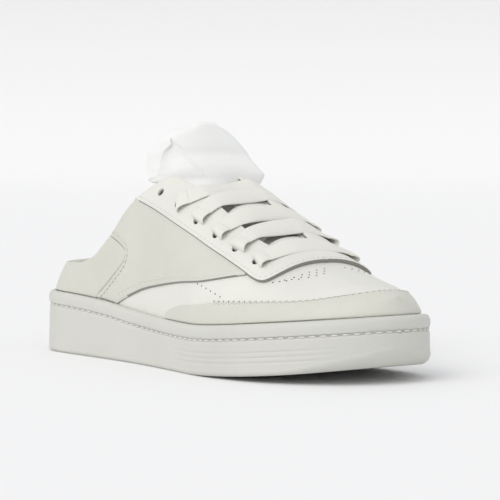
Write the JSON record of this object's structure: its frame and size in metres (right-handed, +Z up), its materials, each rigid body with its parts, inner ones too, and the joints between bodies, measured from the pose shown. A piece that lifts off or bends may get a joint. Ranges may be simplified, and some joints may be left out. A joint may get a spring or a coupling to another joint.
{
  "type": "lace-up sneaker mule",
  "caption": "Low white leather sneaker mule with a laced throat, padded tongue, cut-down open heel and a flat rubber cup sole; right foot.",
  "frame": {"origin": "on the floor, at the middle of the flat disc under the heel", "axes": "+X from heel to toe, +Y to the inner side of the foot, +Z up"},
  "size_m": [0.278, 0.1025, 0.127],
  "materials": {
    "sole_rubber": "matte moulded rubber, off-white",
    "vamp_leather": "smooth white leather with a fine grain",
    "side_leather": "smooth off-white leather with a fine grain",
    "tongue_leather": "soft padded white leather",
    "lining": "knitted textile lining and footbed cover",
    "lace": "flat woven cotton lace"
  },
  "bodies": {
    "root": {"outsole": "sole_rubber", "insole": "lining", "upper": "vamp_leather", "heel_counter": "side_leather", "quarter_lateral": "side_leather", "quarter_medial": "side_leather", "toe_guard": "side_leather", "eyestay": "vamp_leather", "tongue": "tongue_leather", "lace_bar_1": "lace", "lace_bar_2": "lace", "lace_bar_3": "lace", "lace_bar_4": "lace", "lace_bar_5": "lace"}
  },
  "joints": []
}
